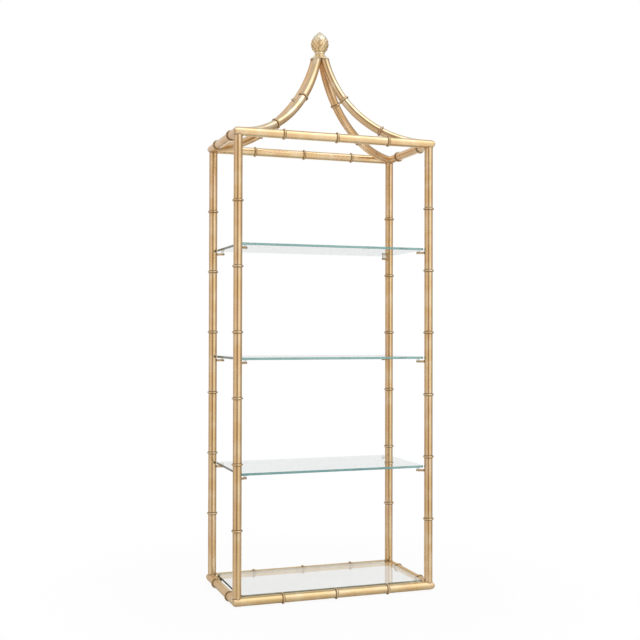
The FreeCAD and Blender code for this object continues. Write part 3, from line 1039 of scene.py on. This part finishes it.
def bore_holes(piece):
    """Bores the two hanging holes into the back of the top back rail."""
    cutters = Skin()
    for sign in (-1, 1):
        at = Vector((sign * HANG_SPACING / 2, RAIL_Y, TOP_Z))
        outline = [(HANG_HOLE_R, HANG_HOLE_FROM, 1.0), (HANG_HOLE_R, HANG_HOLE_TO, 1.0)]
        cutters.loft(*turned(outline, HANG_HOLE_SIDES, at, ALONG_Y, ALONG_X))
    tool_mesh = cutters.mesh("hang_hole_cutters")
    tool_mesh.materials.append(iron)
    tool = bpy.data.objects.new("hang_hole_cutters", tool_mesh)
    bpy.context.scene.collection.objects.link(tool)
    cut = piece.modifiers.new("hang_holes", "BOOLEAN")
    cut.operation = "DIFFERENCE"
    cut.object = tool
    cut.solver = "EXACT"
    cut.material_mode = "TRANSFER"
    bpy.context.view_layer.update()
    evaluated = piece.evaluated_get(bpy.context.evaluated_depsgraph_get())
    bored = bpy.data.meshes.new_from_object(evaluated)
    piece.modifiers.clear()
    bored.name = piece.name
    piece.data = bored
    bpy.data.objects.remove(tool)
    smooth(piece.data)


# Pieces
def build_frame():
    """Rails, posts and their rings."""
    for level, axis_z, leaf in (("top", TOP_Z, gold), ("bottom", BASE_Z, base_gold)):
        rings = Skin()
        for side in SIDES_OF_FRAME:
            skin = rail_skin(side, axis_z)
            rail = show_gold(f"{level}_{side}_rail_tube", skin, f"{level}_{side}_rail", material=leaf)
            add_rings(rings, rail_line(side, axis_z), rail_rings(side))
            if (level, side) == ("top", "back"):
                bore_holes(rail)
        show_gold(f"{level}_rail_bands", rings, f"{level}_frame_rings")
    for corner in CORNERS:
        show_gold(f"{corner}_post_tube", post_skin(corner), f"{corner}_post")
        rings = Skin()
        add_rings(rings, post_line(corner), post_rings())
        show_gold(f"{corner}_post_bands", rings, f"{corner}_post_rings")


def build_roof():
    """The four arms, their rings and the finial."""
    bands = Skin()
    for corner in CORNERS:
        name = f"{corner}_arm_tube"
        # Front arms take the lit copy of the leaf with painted sheen, back arms the copy with painted
        # shade
        leaf = front_arm_lit_gold if corner.startswith("front") else back_arm_shaded_gold
        show(name, arm_mesh(corner, name), [leaf], "frame", "gold_frame", f"{corner}_roof_arm")
        add_rings(bands, arm_arc(corner)[0], arm_ring_places())
    show_gold("roof_arm_bands", bands, "roof_arm_rings")
    show_gold("roof_cap_turned", cap_skin(), "roof_cap", material=cap_lit_gold)
    show_gold("finial_bead", collar_skin(), "finial_collar", material=cap_lit_gold)
    show_gold("finial_scaled_bud", bud_skin(), "finial_bud", material=bud_lit_gold)


def build_glass():
    """The shelves with their pins and bumpers, and the bottom panel."""
    for name in SHELVES:
        node = f"{name}_glass_shelf"
        low_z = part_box(node)[0].z
        piece = f"{name}_shelf_sheet"
        show(piece, glass_mesh(piece, node), SHELF_GLASS, f"{name}_shelf", "clear_glass", node)
        pins, bumpers = Skin(), Skin()
        for corner in CORNERS:
            add_pin(pins, corner, low_z)
            add_bumper(bumpers, corner, low_z)
        show_gold(f"{name}_shelf_rods", pins, f"{name}_shelf_pins")
        bumper = f"{name}_shelf_cushions"
        show(bumper, bumpers.mesh(bumper), [vinyl], "frame", "clear_bumper", f"{name}_shelf_bumpers")
    node = "base_glass_panel"
    piece = "base_panel_sheet"
    show(piece, glass_mesh(piece, node), PANEL_GLASS, "base_panel", "clear_glass", node)


def dress_kept_nodes():
    """The hidden stud, the corner tabs and their pads keep their solids."""
    dress = {"base_corner_tabs": gold, "base_panel_pads": vinyl, "finial_stud": steel}
    for node, material in dress.items():
        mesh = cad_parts[node].data
        mesh.materials.clear()
        mesh.materials.append(material)


# Studio floor: how white it looks directly, through glass, in metal and in metal behind glass
FLOOR_HALF = 1.2
FLOOR_FADE = (0.34, 0.82)
FLOOR_WHITE = 0.86
FLOOR_GLOW = 0.94
FLOOR_GLOW_THROUGH_GLASS = 0.86
FLOOR_GLOW_IN_METAL = 0.60
FLOOR_GLOW_UNDER_GLASS = 1.0
FLOOR_THIN_IN_METAL = 0.65
FLOOR_NEAR_METAL = (0.0, 0.14)

# Room round the object, as metal mirrors it
ROOM_LIGHT = 1.15
ROOM_RIGHT = rgb(0.99, 0.965, 0.94)
ROOM_FAR_RIGHT = rgb(0.50, 0.48, 0.46)
ROOM_LEFT = rgb(0.80, 0.745, 0.715)
ROOM_FAR_LEFT = rgb(0.44, 0.41, 0.38)
ROOM_BACK_LEFT = rgb(0.74, 0.68, 0.67)
ROOM_DARK = rgb(0.34, 0.275, 0.20)
ROOM_BACK = rgb(0.72, 0.72, 0.72)
ROOM_CEILING = rgb(0.66, 0.67, 0.68)
ROOM_CEILING_FROM = (0.40, 0.78)
# Degrees to the right of the camera's side, and the wall's colour there
ROOM_WALLS = (
    (-168, ROOM_BACK),
    (-154, ROOM_BACK_LEFT),
    (-130, ROOM_BACK_LEFT),
    (-116, ROOM_FAR_LEFT),
    (-98, ROOM_FAR_LEFT),
    (-80, ROOM_LEFT),
    (-26, ROOM_LEFT),
    (-12, ROOM_DARK),
    (11, ROOM_DARK),
    (23, ROOM_RIGHT),
    (60, ROOM_RIGHT),
    (86, ROOM_FAR_RIGHT),
    (118, ROOM_FAR_RIGHT),
    (132, ROOM_DARK),
    (160, ROOM_DARK),
    (170, ROOM_BACK),
)
# Heights from straight down at 0 to the horizon at 1, and the brightness there
ROOM_GROUND = ((0.0, 0.92), (0.45, 0.98), (0.72, 0.84), (0.85, 0.90), (0.97, 1.0))
WHITE_BEHIND = (-0.90, -0.98)
WHITE_BEHIND_SHARE = 0.5
KEY_LIGHT = rgb(1.48, 1.55, 1.66)
KEY_TURN = math.radians(51.0)
KEY_HEIGHT = math.radians(51.0)
KEY_EDGE = (math.cos(math.radians(31.0)), math.cos(math.radians(19.0)))

# Soft boxes: place, size and power
BOXES_AIM = Vector((0, 0, 0.62))
RIGHT_BOX_AT = Vector((0.95, -1.95, 1.0))
RIGHT_BOX_SIZE = (1.2, 2.2)
RIGHT_BOX_WATTS = 1.0
TOP_BOX_AT = Vector((0.3, -0.9, 2.9))
TOP_BOX_SIZE = (1.8, 1.4)
TOP_BOX_WATTS = 2.5


def white_world():
    """White to the camera and through the glass, and half white in reflections of what lies behind.

    The light comes from a pale room round the object: a bright wall on the right of the photo's camera,
    a rosier one on the left, darker gaps behind the camera and beside a pale back wall, a dimmer ceiling
    and ground, and a large soft light high on the right.
    """
    world = bpy.data.worlds.new("studio")
    bpy.context.scene.world = world
    g = Graph(world)
    path = g.node("ShaderNodeLightPath").outputs
    white = g.node("ShaderNodeBackground").outputs[0]
    white.node.inputs["Color"].default_value = WHITE
    white.node.inputs["Strength"].default_value = 1.0
    towards = g.node("ShaderNodeTexCoord").outputs["Generated"]
    to_right = Vector((math.cos(CAMERA_YAW), -math.sin(CAMERA_YAW), 0.0))
    to_near = Vector((-math.sin(CAMERA_YAW), -math.cos(CAMERA_YAW), 0.0))
    right = g.dot(towards, to_right)
    near = g.dot(towards, to_near)
    turn = g.math("MULTIPLY_ADD", g.math("ARCTAN2", right, near), 0.5 / math.pi, 0.5)
    walls = g.ramp(turn, [(0.5 + degrees / 360.0, colour) for degrees, colour in ROOM_WALLS])
    height = g.dot(towards, UP)
    ground = g.ramp(g.math("ADD", height, 1.0), [(at, rgb(dim, dim, dim)) for at, dim in ROOM_GROUND])
    colour = g.mix(1.0, walls, ground, "MULTIPLY")
    colour = g.mix(g.span(height, *ROOM_CEILING_FROM), colour, ROOM_CEILING)
    key_at = (to_near * math.cos(KEY_TURN) + to_right * math.sin(KEY_TURN)) * math.cos(KEY_HEIGHT)
    key = g.dot(towards, key_at + UP * math.sin(KEY_HEIGHT))
    colour = g.mix(g.span(key, *KEY_EDGE), colour, KEY_LIGHT)
    room = g.node("ShaderNodeBackground").outputs[0]
    g.feed(room.node.inputs["Color"], colour)
    room.node.inputs["Strength"].default_value = ROOM_LIGHT
    unmirrored = g.math("LESS_THAN", path["Glossy Depth"], 0.5)
    through = g.math("MULTIPLY", path["Is Transmission Ray"], unmirrored)
    seen = g.math("MAXIMUM", path["Is Camera Ray"], through)
    behind = g.span(near, *WHITE_BEHIND, 0.0, WHITE_BEHIND_SHARE)
    mirrored = g.math("MULTIPLY", path["Is Glossy Ray"], behind)
    g.finish(g.shade(g.math("MAXIMUM", seen, mirrored), room, white), "ShaderNodeOutputWorld")


def pale_floor():
    """A round of white floor that keeps a faint shadow and fades out into the white.

    A view from below passes through it. Bare metal mirrors it dimmer and partly seen through, and darker
    still close by. Metal behind glass mirrors it fully white.
    """
    corners = [(x * FLOOR_HALF, y * FLOOR_HALF, 0) for x, y in QUARTERS]
    mesh = bpy.data.meshes.new("floor")
    mesh.from_pydata(corners, [], [(0, 1, 2, 3)])
    floor = bpy.data.objects.new("floor", mesh)
    bpy.context.scene.collection.objects.link(floor)
    material = bpy.data.materials.new("floor_white")
    g = Graph(material)
    path = g.node("ShaderNodeLightPath").outputs
    paint = g.node("ShaderNodeBsdfDiffuse").outputs[0]
    paint.node.inputs["Color"].default_value = rgb(FLOOR_WHITE, FLOOR_WHITE, FLOOR_WHITE)
    glow = g.node("ShaderNodeEmission").outputs[0]
    near_metal = g.span(path["Ray Length"], *FLOOR_NEAR_METAL)
    mirrored = g.math("MULTIPLY", path["Is Glossy Ray"], near_metal)
    reflected = g.math("GREATER_THAN", path["Glossy Depth"], 0.5)
    refracted = g.math("GREATER_THAN", path["Transmission Depth"], 0.5)
    under_glass = g.math("MULTIPLY", reflected, refracted)
    glows = (
        (path["Is Camera Ray"], FLOOR_GLOW),
        (path["Is Transmission Ray"], FLOOR_GLOW_THROUGH_GLASS),
        (mirrored, FLOOR_GLOW_IN_METAL),
        (under_glass, FLOOR_GLOW_UNDER_GLASS),
    )
    seen = 0.0
    for ray, share in glows:
        seen = g.math("MAXIMUM", seen, g.math("MULTIPLY", ray, share))
    lit = g.shade(seen, paint, glow)
    through = g.node("ShaderNodeBsdfTransparent").outputs[0]
    reach = g.node("ShaderNodeVectorMath", operation="LENGTH")
    g.feed(reach.inputs[0], g.place())
    faded = g.span(reach.outputs["Value"], *FLOOR_FADE)
    from_below = g.node("ShaderNodeNewGeometry").outputs["Backfacing"]
    bare = g.math("MULTIPLY", mirrored, g.math("SUBTRACT", 1.0, under_glass))
    thin = g.math("MULTIPLY", bare, FLOOR_THIN_IN_METAL)
    gone = g.math("MAXIMUM", g.math("MAXIMUM", from_below, thin), faded)
    g.finish(g.shade(gone, lit, through))
    mesh.materials.append(material)


def soft_box(name, at, size, watts):
    """A soft light that the camera sees neither directly nor through glass."""
    light = bpy.data.lights.new(name, "AREA")
    light.shape = "RECTANGLE"
    light.size, light.size_y = size
    light.energy = watts
    lamp = bpy.data.objects.new(name, light)
    lamp.location = at
    lamp.rotation_euler = (BOXES_AIM - at).to_track_quat("-Z", "Y").to_euler()
    lamp.visible_camera = False
    lamp.visible_transmission = False
    bpy.context.scene.collection.objects.link(lamp)


def studio():
    white_world()
    pale_floor()
    soft_box("right_box", RIGHT_BOX_AT, RIGHT_BOX_SIZE, RIGHT_BOX_WATTS)
    soft_box("top_box", TOP_BOX_AT, TOP_BOX_SIZE, TOP_BOX_WATTS)


def photo_camera():
    """The camera at the photo's view, turned by its yaw, pitch and roll."""
    data = bpy.data.cameras.new("photo_camera")
    data.lens = CAMERA_LENS
    data.sensor_width = SENSOR
    flat = math.cos(CAMERA_PITCH)
    ahead = Vector((math.sin(CAMERA_YAW) * flat, math.cos(CAMERA_YAW) * flat, math.sin(CAMERA_PITCH)))
    level = Vector((math.cos(CAMERA_YAW), -math.sin(CAMERA_YAW), 0))
    right = level * math.cos(CAMERA_ROLL) + level.cross(ahead) * math.sin(CAMERA_ROLL)
    turn = Matrix((right, right.cross(ahead), -ahead)).transposed()
    camera = bpy.data.objects.new("photo_camera", data)
    camera.matrix_world = Matrix.Translation(CAMERA_AT) @ turn.to_4x4()
    bpy.context.scene.collection.objects.link(camera)
    bpy.context.scene.camera = camera


build_frame()
build_roof()
build_glass()
dress_kept_nodes()
studio()
photo_camera()
bpy.context.scene.view_settings.view_transform = "Standard"
